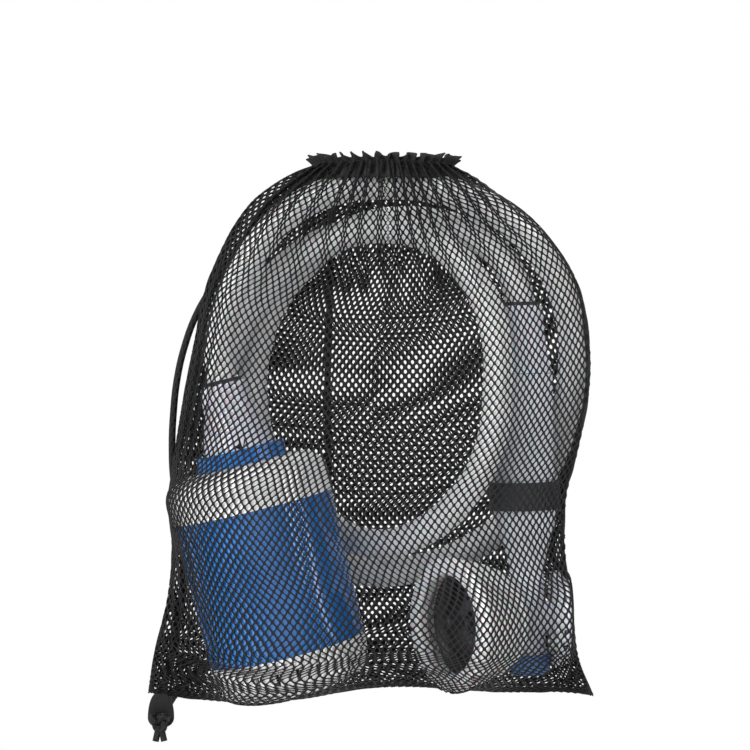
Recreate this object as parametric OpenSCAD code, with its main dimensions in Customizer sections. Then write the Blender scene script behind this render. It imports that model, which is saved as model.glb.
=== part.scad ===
// Snorkel float, breathing hose and mouthpiece, stowed in a drawcord net bag.
// Millimetres. The origin is the middle of the bag's gathered neck, +Z up, and -Y is the front.

/* [Float] */
// Outer radius of the float's blue shell at its upper end
float_r = 40; // [34:0.5:48]
// Length of the blue shell
float_len = 72; // [60:1:86]
// Wall of the shell and of its two end caps
float_wall = 3; // [2:0.25:4]
// How much narrower the shell is at its lower end
shell_taper = 0.8; // [0:0.1:1.5]
// Height of the white cap at the hose end
hose_cap_h = 22; // [18:1:26]
// Height of the slotted dome over the air intake
dome_h = 19.5; // [17:0.5:26]
// Inner radius of the air tube through the float
air_r = 8; // [6:0.5:9]
// Lean of the float from upright
float_lean = 13.7; // [10:0.1:16]
// Number of grip lugs on the collar nut
nut_lugs = 5; // [3:1:6]
// Travel of the splash valve
valve_travel = 8.5; // [5:0.5:9]

/* [Hose] */
// Outer diameter of the hose
hose_d = 15; // [12:0.5:18]
// Depth to which the hose is pushed into each cuff
hose_grip = 12; // [8:1:16]
// Wall of a cuff round the hose
cuff_wall = 4.3; // [3:0.1:6]
// Length of the cuff at the float
float_cuff_len = 36; // [30:1:42]
// Length of the cuff at the mouth valve
mouth_cuff_len = 34; // [28:1:40]

/* [Mouth valve] */
// Outer radius of the valve body
body_r = 15.5; // [12.5:0.1:19]
// Length of the valve body
body_len = 53; // [44:1:60]
// Wall of the valve body and of the tee
body_wall = 2.5; // [1.5:0.25:3]
// Width of the rubber band over the body's joint
band_w = 14; // [10:1:18]
// Thickness of the rubber band
band_t = 1.8; // [1:0.1:2.5]
// Outer radius of the tee's pipes
pipe_r = 8.5; // [7:0.25:10]
// Outer radius of the exhaust cover
exhaust_r = 24; // [19:0.5:28]
// Radius of the purge button
purge_r = 10.5; // [9:0.5:12]
// Travel of the purge button
purge_travel = 2; // [1:0.25:2.5]

/* [Mouthpiece] */
// Outer radius of the mouth cup at its rim
cup_r = 33; // [27:0.5:36]
// Radius of the opening in the rim
cup_open_r = 24; // [18:0.5:25]
// Distance from the tee's centre to the rim
cup_reach = 51; // [45:1:56]
// Turn of the mouth cup towards the front
cup_turn = 33; // [25:1:40]

/* [Bag] */
// Thickness of the net and its hems
net_t = 0.8; // [0.5:0.1:1.2]
// Diameter of the braided drawcord
cord_d = 3.6; // [3:0.1:4.2]
// Room between the contents and the net
bag_ease = 4; // [3:0.5:10]

/* [Hidden] */
$fn = 96;
eps = 0.01;
// Clearances: a glued or pressed seat, a running fit and a soft piece beside its neighbour
seat = 0.05;
run = 0.1;
soft = 0.3;

// Places of the two hard assemblies
float_at = [-57, -8, -204];
mouth_at = [70.5, 8, -164];
mouth_lean = 1.5;
function up_axis(lean) = [-sin(lean), 0, cos(lean)];
function float_point(h) = float_at + h * up_axis(float_lean);
function mouth_point(h) = mouth_at + h * up_axis(mouth_lean);
module at_float() { translate(float_at) rotate([0, -float_lean, 0]) children(); }
module at_mouth() { translate(mouth_at) rotate([0, -mouth_lean, 0]) children(); }

// Float levels along its axis, from its middle
shell_top = float_len / 2;
shell_low = -float_len / 2;
shell_in_r = float_r - shell_taper - float_wall;
cap_top = shell_top + hose_cap_h;
spigot_top = cap_top + 3;
deck_t = 2.5;
deck_low = shell_low - deck_t;
dome_low = deck_low - dome_h;
cuff_r = hose_d / 2 + cuff_wall;
cuff_low_r = cuff_r + 5.6;
flange_r = cuff_low_r + 1.6;
nut_r = flange_r + 3.9;
nut_top = spigot_top + 4.6;
float_cuff_top = spigot_top + 2 + float_cuff_len;
hose_r = hose_d / 2;
socket_r = hose_r + run;
air_wall = 2;

// Mouth valve levels along its axis, from the middle of the rubber band
body_low = band_w / 2 + 1;
body_top = body_low + body_len;
mouth_cuff_top = body_top + 0.3 + mouth_cuff_len;
ring_h = 1.8;
ring_w = 1.8;
tee_drop = 62;
tee_cone_low = -38;
pipe_low = -tee_drop - 22;
spring_room = 6.8;
tee_at = mouth_point(-tee_drop);

function arc(c, r, a0, a1, steps = 8) =
  [for (i = [0:steps]) let (a = a0 + (a1 - a0) * i / steps) c + r * [cos(a), sin(a)]];

// ---- Swept tubes: rings of points along a route ----
function unit(v) = v / norm(v);
function heading(path, i) =
  unit(path[min(i + 1, len(path) - 1)] - path[max(i - 1, 0)]);
function ring_points(p, t, ref, r, sides) =
  let (u = unit(cross(t, ref)), v = cross(t, u))
  [for (k = [0:sides - 1]) p + r * (cos(360 * k / sides) * u + sin(360 * k / sides) * v)];
module tube(path, r, sides, ref = [0, 1, 0]) {
  last = len(path) - 1;
  points = [for (i = [0:last]) each ring_points(path[i], heading(path, i), ref, r, sides)];
  sides_faces = [for (i = [0:last - 1], k = [0:sides - 1])
    let (a = i * sides + k, b = i * sides + (k + 1) % sides)
    each [[a, a + sides, b + sides], [a, b + sides, b]]];
  first_face = [for (k = [0:sides - 1]) k];
  last_face = [for (k = [sides - 1:-1:0]) last * sides + k];
  polyhedron(points, concat(sides_faces, [first_face, last_face]));
}

// ---- Bag: levels of a pillow shape with its outline and depths as shares of its size ----
bag_left = -float_at.x + float_r + 19 + bag_ease;
bag_right = mouth_at.x + exhaust_r + 9 + bag_ease;
bag_front = float_r - float_at.y + bag_ease;
bag_back = float_r + float_at.y + hose_d + 3 + bag_ease;
bag_drop = -float_at.z + float_len / 2 + deck_t + dome_h + 2 + bag_ease;
bag_square = 3.8;
bag_columns = 20;
// Each level: share of the drop, then of the left, right, front and back reach
bag_levels = [
  [-0.012, 0.26, 0.34, 0.35, 0.36], [0.007, 0.32, 0.40, 0.41, 0.44],
  [0.030, 0.42, 0.505, 0.46, 0.56], [0.067, 0.565, 0.63, 0.53, 0.68],
  [0.112, 0.66, 0.745, 0.57, 0.80], [0.168, 0.73, 0.855, 0.61, 0.88],
  [0.243, 0.785, 0.955, 0.66, 0.95], [0.336, 0.82, 0.998, 0.72, 0.98],
  [0.433, 0.85, 0.985, 0.84, 1.0], [0.522, 0.885, 0.94, 0.97, 1.0],
  [0.616, 0.92, 0.91, 1.0, 1.0], [0.709, 0.925, 0.93, 1.0, 0.98],
  [0.802, 0.935, 0.945, 1.0, 0.94], [0.896, 0.965, 0.965, 1.0, 0.90],
  [0.940, 0.985, 0.98, 0.95, 0.84], [0.970, 0.995, 0.995, 0.82, 0.71],
  [0.988, 1.0, 1.0, 0.56, 0.48], [0.998, 1.0, 1.0, 0.20, 0.18], [1.0, 1.0, 1.0, 0.006, 0.006]
];
function bag_power(v) = sign(v) * pow(abs(v), 2 / bag_square);
// A point of the bag at level row, at angle a round it from its left edge over the front, off outward
function bag_point(row, a, off) =
  let (left = -bag_left * row[1], right = bag_right * row[2],
       half = (right - left) / 2,
       depth = sin(a) >= 0 ? -bag_front * row[3] : bag_back * row[4],
       side = a < 180 ? -1 : 1,
       low = max(0, (row[0] - 0.93) / 0.07))
  [(left + right) / 2 - (half + off) * bag_power(cos(a)),
   side * (net_t / 4) + (depth + side * off) * abs(bag_power(sin(a))),
   -bag_drop * row[0] - off * low];
// A closed skin between two offsets from the bag's inner face
module bag_skin(rows, a0, a1, columns, off_in, off_out) {
  grid_w = columns + 1;
  grid_n = len(rows) * grid_w;
  function grid(off) = [for (row = rows, c = [0:columns]) bag_point(row, a0 + (a1 - a0) * c / columns, off)];
  function two(a, b, c, d) = [[a, b, c], [a, c, d]];
  skin = [for (r = [0:len(rows) - 2], c = [0:columns - 1])
    let (a = r * grid_w + c, b = a + 1, d = a + grid_w, e = d + 1)
    each concat(two(a, b, e, d), two(a + grid_n, d + grid_n, e + grid_n, b + grid_n))];
  rims = [for (c = [0:columns - 1])
    let (a = c, d = (len(rows) - 1) * grid_w + c)
    each concat(two(a + 1, a, a + grid_n, a + 1 + grid_n), two(d, d + 1, d + 1 + grid_n, d + grid_n))];
  edges = [for (r = [0:len(rows) - 2])
    let (a = r * grid_w, b = a + grid_w, c = a + columns, d = b + columns)
    each concat(two(a, b, b + grid_n, a + grid_n), two(d, c, c + grid_n, d + grid_n))];
  polyhedron(concat(grid(off_out), grid(off_in)), concat(skin, rims, edges));
}

// Middle of the tab under the left corner, and half the spacing of the two cords through it
tab_r = 4.6;
tab_at = [8 - bag_left, 0, -bag_drop - 2 * net_t - 2 * soft - tab_r];
cord_gap = cord_d / 2 + soft / 2;

// ---- Routes chosen by hand: the coiled hose and the two runs of drawcord ----
hose_route = [
  float_point(float_cuff_top - hose_grip + seat), float_point(float_cuff_top + 4),
  [-82, -7, -88], [-77, -6, -66], [-66, -6, -44], [-50, -7, -25], [-28, -8, -13], [-2, -8, -9],
  [26, -8, -11.5], [54, -7, -22], [77, -3, -42], [91, 3, -68], [95, 10, -96], [92, 22, -124],
  [84, 31, -150], [69, 37, -174], [44, 39, -194], [12, 40, -205], [-20, 41, -204], [-48, 42, -190],
  [-69, 42, -167], [-82, 38, -140], [-85, 31, -114], [-79, 23, -90], [-66, 18, -66], [-50, 14, -48],
  [-28, 9, -35.5], [-2, 4, -30], [24, -1, -36.5], [44, -6, -56], [54.5, -11, -83], [55.5, -13, -110],
  [52, -14, -137], [40, -11, -162], [20, -2, -181], [-6, 14, -189], [-30, 31, -180], [-50, 41, -162],
  [-64, 40, -138], [-68, 37, -113], [-66, 36, -90], [-58, 34, -68], [-44, 31, -49], [-26, 28, -34],
  [-4, 24, -26], [16, 19, -25], [34, 15, -28.5], [48.5, 11, -35], [59.5, 9, -45.5], [66, 8, -58],
  mouth_point(mouth_cuff_top + 1), mouth_point(mouth_cuff_top - hose_grip + seat)
];
left_route = [
  [-31, 21.6, 1], [-36, 28, 0], [-43, 32, -4], [-52, 35, -11.5], [-62, 36.5, -20], [-72, 38.5, -32],
  [-81.5, 40, -45], [-89.5, 37, -58], [-97, 32, -72], [-102.5, 27, -88], [-106.2, 24, -105],
  [-108.2, 24, -123], [-109.2, 27, -141], [-109, 33, -158], [-107, 40, -176], [-105, 42, -196], [-105, 41.5, -214],
  [-107.5, 40, -232], [-110.5, 38.5, -247], [-113.5, 32.5, -260.5], [-114.5, 21, -269], [-114.2, 11, -273],
  tab_at + [-cord_gap, 6, 0], tab_at + [-cord_gap, 2.5, 0], tab_at + [-cord_gap, -3.5, 0]
];
rear_route = [
  [-24, 23.4, 1], [-24.5, 32, -1], [-26, 39.5, -11], [-27.5, 47, -25], [-28.5, 52.5, -44], [-29, 56, -68],
  [-30, 58, -98], [-30, 59, -130], [-30, 59, -162], [-34, 58.5, -182], [-42, 57.5, -201], [-55, 55.5, -219],
  [-70, 52.5, -235], [-85, 47.5, -248], [-98, 39, -259], [-107, 27, -267], [-110, 19, -271.5],
  [-110, 11, -274], tab_at + [cord_gap, 6, 0], tab_at + [cord_gap, 2.5, 0], tab_at + [cord_gap, -3.5, 0]
];

// ======== Float ========

// Blue shell: a plain tube, a little narrower at its lower end
module float_shell() {
  color([0.11, 0.33, 0.6]) at_float() difference() {
    translate([0, 0, shell_low]) cylinder(h = float_len, r1 = float_r - shell_taper, r2 = float_r);
    translate([0, 0, shell_low - eps]) cylinder(h = float_len + 2 * eps, r = shell_in_r);
  }
}

// White cap at the hose end: rounded shoulder, threaded spigot, skirt in the shell and air tube socket
module hose_end_cap() {
  shoulder = 12;
  out_r = float_r + 0.5;
  skirt_r = shell_in_r - seat;
  color("white") at_float() difference() {
    union() {
      rotate_extrude() polygon(concat(
        [[air_r, cap_top], [air_r, spigot_top], [flange_r, spigot_top], [flange_r, cap_top]],
        arc([out_r - shoulder, cap_top - shoulder], shoulder, 90, 0),
        [[out_r, shell_top + seat], [skirt_r, shell_top + seat], [skirt_r, shell_top - 7],
         [skirt_r - float_wall, shell_top - 7], [skirt_r - float_wall, cap_top - shoulder],
         [skirt_r - shoulder, cap_top - float_wall], [air_r + air_wall + 3, cap_top - float_wall],
         [air_r + air_wall + 3, shell_top + 2], [air_r + air_wall + seat, shell_top + 2],
         [air_r + air_wall + seat, cap_top - float_wall], [air_r, cap_top - float_wall]]));
    }
    seal_groove(shell_top - 3.5);
  }
}

// Groove round a skirt for one seal ring
module seal_groove(level) {
  translate([0, 0, level]) rotate_extrude() translate([shell_in_r - 2, -1.2]) square([3, 2.4]);
}

// Deck that closes the shell's intake end and carries the air tube
module intake_deck() {
  skirt_r = shell_in_r - seat;
  color("white") at_float() difference() {
    rotate_extrude() polygon([
      [air_r, deck_low], [float_r - shell_taper, deck_low], [float_r - shell_taper, shell_low - seat],
      [skirt_r, shell_low - seat], [skirt_r, shell_low + 7], [skirt_r - float_wall, shell_low + 7],
      [skirt_r - float_wall, shell_low], [air_r + air_wall + 3, shell_low],
      [air_r + air_wall + 3, shell_low + 9], [air_r + air_wall + seat, shell_low + 9],
      [air_r + air_wall + seat, shell_low], [air_r, shell_low]
    ]);
    seal_groove(shell_low + 3.5);
  }
}

// Slotted dome over the intake, with the post on which the splash valve slides
module intake_cap() {
  top_r = float_r - shell_taper;
  top = deck_low - soft;
  low_r = 16;
  wall = float_wall - 0.5;
  crown = dome_h - 8;
  slots = 24;
  slot_w = 1.8;
  scallops = 6;
  color("white") at_float() difference() {
    union() {
      rotate_extrude() polygon(concat(
        [[top_r - wall, top], [top_r, top], [top_r - 0.3, top - 5]],
        [for (a = [15:15:75])
          [low_r + (top_r - 0.6 - low_r) * cos(a), dome_low + crown - crown * sin(a)]],
        [[low_r, dome_low], [post_r, dome_low], [post_r, dome_low + wall], [low_r - 1, dome_low + wall]],
        [for (a = [75:-15:15])
          [low_r - 1 + (top_r - wall - low_r) * cos(a), dome_low + wall + (crown - wall + 1) * (1 - sin(a))]],
        [[top_r - wall - 0.3, top - 5]]));
      translate([0, 0, dome_low]) cylinder(h = deck_low - 2.4 - dome_low, r = post_r);
      translate([0, 0, dome_low]) cylinder(h = stop_top - dome_low, r = post_r + 1.6);
    }
    // Slots in the wall just under the shell
    for (i = [0.5:slots]) rotate([0, 0, i * 360 / slots])
      translate([top_r - wall - 2, -slot_w / 2, top - 9.5]) cube([wall + 4, slot_w, 6]);
    // Scallops round the crown
    for (i = [0.5:scallops]) rotate([0, 0, i * 360 / scallops])
      translate([low_r + 7, 0, dome_low - 2]) cylinder(h = 5.5, r = 3.5);
  }
}
post_r = 2;
valve_seat_h = 1.5;
puck_h = 3;
stop_top = deck_low - valve_seat_h - soft - valve_travel - puck_h;

// Seat ring of the splash valve, glued under the deck
module valve_seat() {
  color("dimgray") at_float() translate([0, 0, deck_low - valve_seat_h]) difference() {
    cylinder(h = valve_seat_h - seat, r = air_r + 5);
    translate([0, 0, -eps]) cylinder(h = valve_seat_h + 1, r = air_r);
  }
}

// Buoyant puck that shuts the seat when water lifts it
module valve_float() {
  color("gainsboro") at_float() translate([0, 0, stop_top + seat]) difference() {
    union() {
      cylinder(h = puck_h, r = air_r + 3);
      cylinder(h = puck_h + 1, r = post_r + 2);
    }
    translate([0, 0, -eps]) cylinder(h = puck_h + 2, r = post_r + run);
  }
}

// Air tube from the intake to the hose end
module air_tube() {
  color("gainsboro") at_float() translate([0, 0, shell_low + seat]) difference() {
    cylinder(h = cap_top - float_wall - shell_low - 2 * seat, r = air_r + air_wall);
    translate([0, 0, -eps]) cylinder(h = float_len + hose_cap_h, r = air_r);
  }
}

// Closed-cell foam ring that floats the shell
module float_foam() {
  color("lightyellow") at_float() translate([0, 0, shell_low + 9 + soft]) difference() {
    cylinder(h = float_len - 16 - 2 * soft - 2, r = shell_in_r - soft);
    translate([0, 0, -eps]) cylinder(h = float_len, r = air_r + air_wall + soft);
  }
}

// Two seal rings, one at each end of the shell
module float_seals() {
  seal_r = 0.85;
  color("black") at_float() for (level = [shell_top - 3.5, shell_low + 3.5])
    translate([0, 0, level]) rotate_extrude()
      translate([shell_in_r - seal_r - seat, 0]) circle(r = seal_r, $fn = 24);
}

// Collar nut with grip lugs: it clamps the cuff's flange on the spigot
module collar_nut() {
  low = cap_top + soft;
  lip_r = cuff_low_r + soft;
  color([0.13, 0.36, 0.62]) at_float() difference() {
    union() {
      translate([0, 0, low]) cylinder(h = nut_top - low, r = nut_r - 1.6);
      translate([0, 0, low]) cylinder(h = 1.6, r = nut_r);
      for (i = [0:nut_lugs - 1]) rotate([0, 0, -135 + i * 360 / nut_lugs]) intersection() {
        translate([0, -6.5, low]) cube([nut_r, 13, nut_top - low]);
        translate([0, 0, low]) cylinder(h = nut_top - low, r = nut_r - 0.2);
      }
    }
    translate([0, 0, low - eps]) cylinder(h = spigot_top + 2 + soft - low, r = flange_r + run);
    translate([0, 0, low]) cylinder(h = nut_top, r = lip_r);
  }
}

// Tapered soft cuff with a flange below and the hose socket above
module float_cuff() {
  low = spigot_top;
  color([0.9, 0.91, 0.97, 0.8]) at_float() difference() {
    rotate_extrude() polygon(concat(
      [[air_r, low], [flange_r, low], [flange_r, low + 2], [cuff_low_r, low + 2], [cuff_low_r, nut_top + 1]],
      [[cuff_r + 1.2, low + 2 + float_cuff_len * 0.62], [cuff_r, float_cuff_top - 1.5],
       [cuff_r - 1, float_cuff_top], [socket_r, float_cuff_top], [socket_r, float_cuff_top - hose_grip],
       [hose_r - 2, float_cuff_top - hose_grip], [hose_r - 2, low + 18], [air_r, low + 8]]));
  }
}

// ======== Hose ========

// Smooth hose, wound in two and a half turns
module hose() {
  color("whitesmoke") tube(hose_route, hose_r, 12);
}

// Black rings that close the mouth of each cuff round the hose
module hose_rings() {
  color("black") {
    at_float() translate([0, 0, float_cuff_top + seat]) hose_ring();
    at_mouth() translate([0, 0, mouth_cuff_top + seat]) hose_ring();
  }
}
module hose_ring() {
  rotate_extrude() translate([hose_r + soft, 0]) square([ring_w, ring_h]);
}

// ======== Mouth valve ========

// Flared cuff on the valve body
module mouth_cuff() {
  low = body_top + 0.3;
  flare = body_r - cuff_r;
  color([0.9, 0.91, 0.97, 0.8]) at_mouth() rotate_extrude() polygon(concat(
    [[body_r - body_wall, low], [body_r, low]],
    [for (i = [1:6]) [cuff_r + flare * pow(1 - i / 6, 2), low + mouth_cuff_len * 0.8 * i / 6]],
    [[cuff_r, mouth_cuff_top - 1], [cuff_r - 1, mouth_cuff_top], [socket_r, mouth_cuff_top],
     [socket_r, mouth_cuff_top - hose_grip], [hose_r - 2, mouth_cuff_top - hose_grip],
     [hose_r - 2, low + 10], [body_r - body_wall, low + 4]]));
}

// Straight valve body that holds the inhale valve
module valve_body() {
  color([0.88, 0.89, 0.95]) at_mouth() difference() {
    translate([0, 0, body_low]) cylinder(h = body_len, r = body_r);
    translate([0, 0, body_low - eps]) cylinder(h = body_len + 2 * eps, r = body_r - body_wall);
  }
}

// Spoked seat of the inhale valve, pressed into the body
seat_level = 26;
module inhale_seat() {
  in_r = body_r - body_wall - seat;
  color("gainsboro") at_mouth() translate([0, 0, seat_level]) {
    difference() {
      cylinder(h = 3, r = in_r);
      translate([0, 0, -eps]) cylinder(h = 4, r = in_r - 3.5);
    }
    for (a = [0, 60, 120]) rotate([0, 0, a]) translate([-(in_r - 3), -0.8, 0]) cube([2 * in_r - 6, 1.6, 2]);
    cylinder(h = 3, r = 3);
  }
}

// Soft disc that opens towards the mouth
module inhale_flap() {
  color("silver") at_mouth() translate([0, 0, seat_level - 0.9])
    cylinder(h = 0.8, r = body_r - body_wall - 2);
}

// Wide rubber band over the joint between body and tee
module clamp_band() {
  color([0.25, 0.25, 0.27]) at_mouth() difference() {
    translate([0, 0, -band_w / 2]) cylinder(h = band_w, r = body_r + 0.4 + soft + band_t);
    translate([0, 0, -band_w / 2 - eps]) cylinder(h = band_w + 1, r = body_r + 0.4 + soft);
  }
}

// Tee: cone from the body, upright pipe, side pipe for the mouth cup and exhaust port
module tee_housing() {
  top = body_low - 0.2;
  in_r = pipe_r - body_wall;
  color([0.9, 0.91, 0.96]) difference() {
    union() {
      at_mouth() rotate_extrude() polygon([
        [0, top], [body_r + 0.4, top], [body_r + 0.4, -band_w / 2 - 2], [body_r - 1.5, -18],
        [pipe_r + 1.5, -30], [pipe_r, tee_cone_low], [0, tee_cone_low]]);
      at_mouth() translate([0, 0, pipe_low]) cylinder(h = tee_cone_low + eps - pipe_low, r = pipe_r);
      at_cup() cylinder(h = cup_seat, r = pipe_r);
      translate(tee_at) rotate([0, 90, 0]) cylinder(h = exhaust_gap, r = pipe_r);
      translate(tee_at + [exhaust_gap - plate_t, 0, 0]) rotate([0, 90, 0])
        cylinder(h = plate_t, r = exhaust_r - 1.5);
    }
    at_mouth() rotate_extrude() polygon([
      [0, top + eps], [body_r - body_wall, top + eps], [body_r - body_wall, -band_w / 2 - 2],
      [body_r - 1.5 - body_wall, -18], [in_r + 1, -31], [in_r, tee_cone_low - 1], [0, tee_cone_low - 1]]);
    at_mouth() translate([0, 0, pipe_low - eps]) cylinder(h = spring_room, r = in_r);
    at_mouth() translate([0, 0, pipe_low]) cylinder(h = tee_drop, r = in_r - 2.2);
    at_mouth() translate([0, 0, pipe_low + spring_room + 1.4]) cylinder(h = tee_drop - 8, r = in_r);
    at_cup() cylinder(h = cup_seat + 1, r = in_r);
    translate(tee_at) rotate([0, 90, 0]) cylinder(h = exhaust_gap + 1, r = in_r);
  }
}
exhaust_gap = 14;
plate_t = 2.4;

// Spoked seat of the exhaust valve on the tee's side port
module exhaust_seat() {
  color("gainsboro") translate(tee_at + [exhaust_gap + seat, 0, 0]) rotate([0, 90, 0]) difference() {
    union() {
      cylinder(h = 1.4, r = exhaust_r - 1.5);
      cylinder(h = 2, r = exhaust_r - 8);
    }
    for (i = [0:5]) rotate([0, 0, i * 60]) translate([4.3, 0, -eps]) cylinder(h = 4, r = 1.7);
  }
}

// Soft disc that lets breath and water out
module exhaust_flap() {
  color("silver") translate(tee_at + [exhaust_gap + 2.15, 0, 0]) rotate([0, 90, 0])
    cylinder(h = 0.8, r = exhaust_r - 9);
}

// Domed cover over the exhaust valve, open in slots round its wall
module exhaust_cover() {
  cover_h = 7.8;
  slots = 18;
  slot_w = 2.4;
  color([0.92, 0.92, 0.96]) translate(tee_at + [exhaust_gap - 1.5, 0, 0]) rotate([0, 90, 0]) difference() {
    rotate_extrude() polygon(concat(
      [[exhaust_r - 1.5 + run, 0], [exhaust_r, 0]],
      arc([exhaust_r - 4, cover_h - 4], 4, 0, 90),
      [[0, cover_h], [0, cover_h - 1.5], [exhaust_r - 5, cover_h - 1.5],
       [exhaust_r - 1.5 + run, cover_h - 4.4]]));
    for (i = [1:slots]) rotate([0, 0, i * 360 / slots])
      translate([exhaust_r - 3, -slot_w / 2, 3.6]) cube([5, slot_w, 1.8]);
  }
}

// Blue button below the tee that opens the drain
module purge_button() {
  floor_at = pipe_low - purge_travel - 1;
  color([0.2, 0.42, 0.7]) at_mouth() difference() {
    translate([0, 0, floor_at - 2]) union() {
      cylinder(h = 9, r = purge_r);
      translate([0, 0, -1]) cylinder(h = 1 + eps, r1 = purge_r - 1, r2 = purge_r);
    }
    translate([0, 0, floor_at]) cylinder(h = 9, r = pipe_r + run);
  }
}

// Return spring of the purge button
module purge_spring() {
  coil_r = pipe_r - body_wall - 1.2;
  turns = 4;
  steps = 12;
  wire_r = 0.4;
  bottom = pipe_low - purge_travel - 1 + wire_r + seat;
  height = pipe_low + spring_room - wire_r - seat - bottom;
  color("silver") at_mouth() tube([for (i = [0:turns * steps])
    [coil_r * cos(i * 360 / steps), coil_r * sin(i * 360 / steps), bottom + height * i / (turns * steps)]],
    wire_r, 6, [0, 0, 1]);
}

// ======== Mouthpiece ========
tie_w = 2.6;
cup_low = pipe_r + soft + tie_w + soft;
neck_len = 7.5;
cup_seat = cup_low + neck_len;
module at_cup() { translate(tee_at) rotate([0, 0, 180 + cup_turn]) rotate([0, 90, 0]) children(); }

// Soft mouth cup on the tee's side pipe, with a thick rolled rim
module mouth_cup() {
  wall = 3;
  color([0.93, 0.93, 0.94]) at_cup() translate([0, 0, cup_low]) rotate_extrude() polygon(concat(
    [[pipe_r + run, 0], [pipe_r + 3.4, 0], [pipe_r + 3.8, 1.5]],
    [[cup_r * 0.6, 3.5], [cup_r * 0.77, 8.5], [cup_r * 0.87, 17], [cup_r * 0.94, 27]],
    arc([cup_r - 3.5, cup_reach - cup_low - 3.5], 3.5, 0, 90, 5),
    arc([cup_open_r + 2.5, cup_reach - cup_low - 2.5], 2.5, 90, 180, 4),
    [[cup_open_r, cup_reach - cup_low - 6], [cup_r * 0.94 - wall - 1, cup_reach - cup_low - 9],
     [cup_r * 0.94 - wall, 27], [cup_r * 0.87 - wall, 18.5], [cup_r * 0.77 - wall, 11.5],
     [cup_r * 0.6 - wall, neck_len], [pipe_r + run, neck_len]]));
}

// Bite piece inside the cup: a short oval spout with two tabs
module bite_piece() {
  low = cup_seat + soft;
  spout = 15;
  in_r = pipe_r - body_wall;
  color([0.8, 0.8, 0.82]) at_cup() difference() {
    union() {
      translate([0, 0, low]) cylinder(h = spout, r = pipe_r);
      translate([0, 0, low + spout - 2]) cylinder(h = 2, r = pipe_r + 3);
      for (side = [-1, 1]) translate([-3, side * (pipe_r - 1) - 1.25, low + spout - eps]) cube([6, 2.5, 9]);
    }
    translate([0, 0, low - eps]) cylinder(h = spout + 1, r = in_r);
  }
}

// Tie that holds the cup on the pipe
module cup_tie() {
  color([0.15, 0.15, 0.16]) at_cup() translate([0, 0, pipe_r + soft]) difference() {
    cylinder(h = tie_w, r = pipe_r + 2.2);
    translate([0, 0, -eps]) cylinder(h = tie_w + 1, r = pipe_r + run);
  }
}

// ======== Bag ========
module bag_front() {
  color([0.08, 0.08, 0.08, 0.4]) bag_skin(bag_levels, 0, 180, bag_columns, 0, net_t);
}
module bag_back() {
  color([0.08, 0.08, 0.08, 0.4]) bag_skin(bag_levels, 180, 360, bag_columns, 0, net_t);
}

// Tape sewn over the joint of the two nets, down both sides and along the bottom
module bag_seam_tape() {
  off = net_t + soft;
  color([0.05, 0.05, 0.05]) {
    for (side = [-1, 1]) tape_strip(side, off);
    translate([-bag_left + 1, -tape_w / 2, -bag_drop - off - net_t])
      cube([bag_left + bag_right - 2, tape_w, net_t]);
  }
}
tape_w = 8;
// Tape down one side, from the fourth level to the third from the bottom
module tape_strip(side, off) {
  rows = [for (i = [3:len(bag_levels) - 3]) bag_levels[i]];
  edge = [for (row = rows) [side < 0 ? -bag_left * row[1] : bag_right * row[2], -bag_drop * row[0]]];
  for (i = [0:len(rows) - 2]) hull() for (j = [i, i + 1])
    translate([edge[j].x + side * (off + net_t / 2), 0, edge[j].y])
      cube([net_t, tape_w, 0.2], center = true);
}

// Gathered hem round the mouth, the channel of the drawcord
module bag_hem() {
  off = net_t + soft + 0.2;
  hem_t = 1.2;
  hem_levels = [
    [-0.022, 0.25, 0.33, 0.34, 0.35], [-0.012, 0.26, 0.34, 0.35, 0.36],
    [0.007, 0.32, 0.40, 0.41, 0.44], [0.014, 0.35, 0.435, 0.425, 0.475]
  ];
  color([0.05, 0.05, 0.05]) for (a0 = [1, 181])
    bag_skin(hem_levels, a0, a0 + 178, bag_columns, off, off + hem_t);
}

// Webbing tab under the left corner, with one hole for both ends of the cord
module corner_tab() {
  color([0.05, 0.05, 0.05]) translate(tab_at) rotate([90, 0, 0]) difference() {
    long_disc(tab_r, 2);
    long_disc(cord_d / 2 + 0.5, 3);
  }
}
module long_disc(r, h) {
  hull() for (side = [-1, 1]) translate([side * cord_gap, 0, 0])
    cylinder(h = h, r = r, center = true, $fn = 32);
}

// ======== Drawcord ========
module drawcord_left() { color([0.04, 0.04, 0.04]) tube(left_route, cord_d / 2, 8, [-1, 1, 1]); }
module drawcord_rear() { color([0.04, 0.04, 0.04]) tube(rear_route, cord_d / 2, 8, [1, 1, 1]); }

// Overhand knot that joins both ends in front of the tab, with two frayed tails
module drawcord_knot() {
  color([0.04, 0.04, 0.04]) translate(tab_at + [0, -3 - cord_d * 0.7, -1]) {
    rotate([90, 0, 20]) rotate_extrude() translate([cord_d * 0.7, 0]) circle(r = cord_d * 0.42, $fn = 16);
    rotate([0, 25, 0]) rotate_extrude() translate([cord_d * 0.6, 0]) circle(r = cord_d * 0.42, $fn = 16);
    for (lean = [-12, 14]) rotate([0, lean, 0]) translate([0, 0, -11.5]) cylinder(h = 10.5, r = cord_d * 0.4);
  }
}

float_shell();
hose_end_cap();
intake_deck();
intake_cap();
air_tube();
float_foam();
float_seals();
valve_seat();
valve_float();
collar_nut();
float_cuff();
hose_rings();
hose();
mouth_cuff();
valve_body();
inhale_seat();
inhale_flap();
clamp_band();
tee_housing();
exhaust_seat();
exhaust_flap();
exhaust_cover();
purge_button();
purge_spring();
mouth_cup();
bite_piece();
cup_tie();
bag_front();
bag_back();
bag_seam_tape();
bag_hem();
corner_tab();
drawcord_left();
drawcord_rear();
drawcord_knot();
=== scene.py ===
import math

import bmesh
import bpy
import numpy as np
from mathutils import Matrix, Vector
from mathutils.bvhtree import BVHTree


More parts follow.
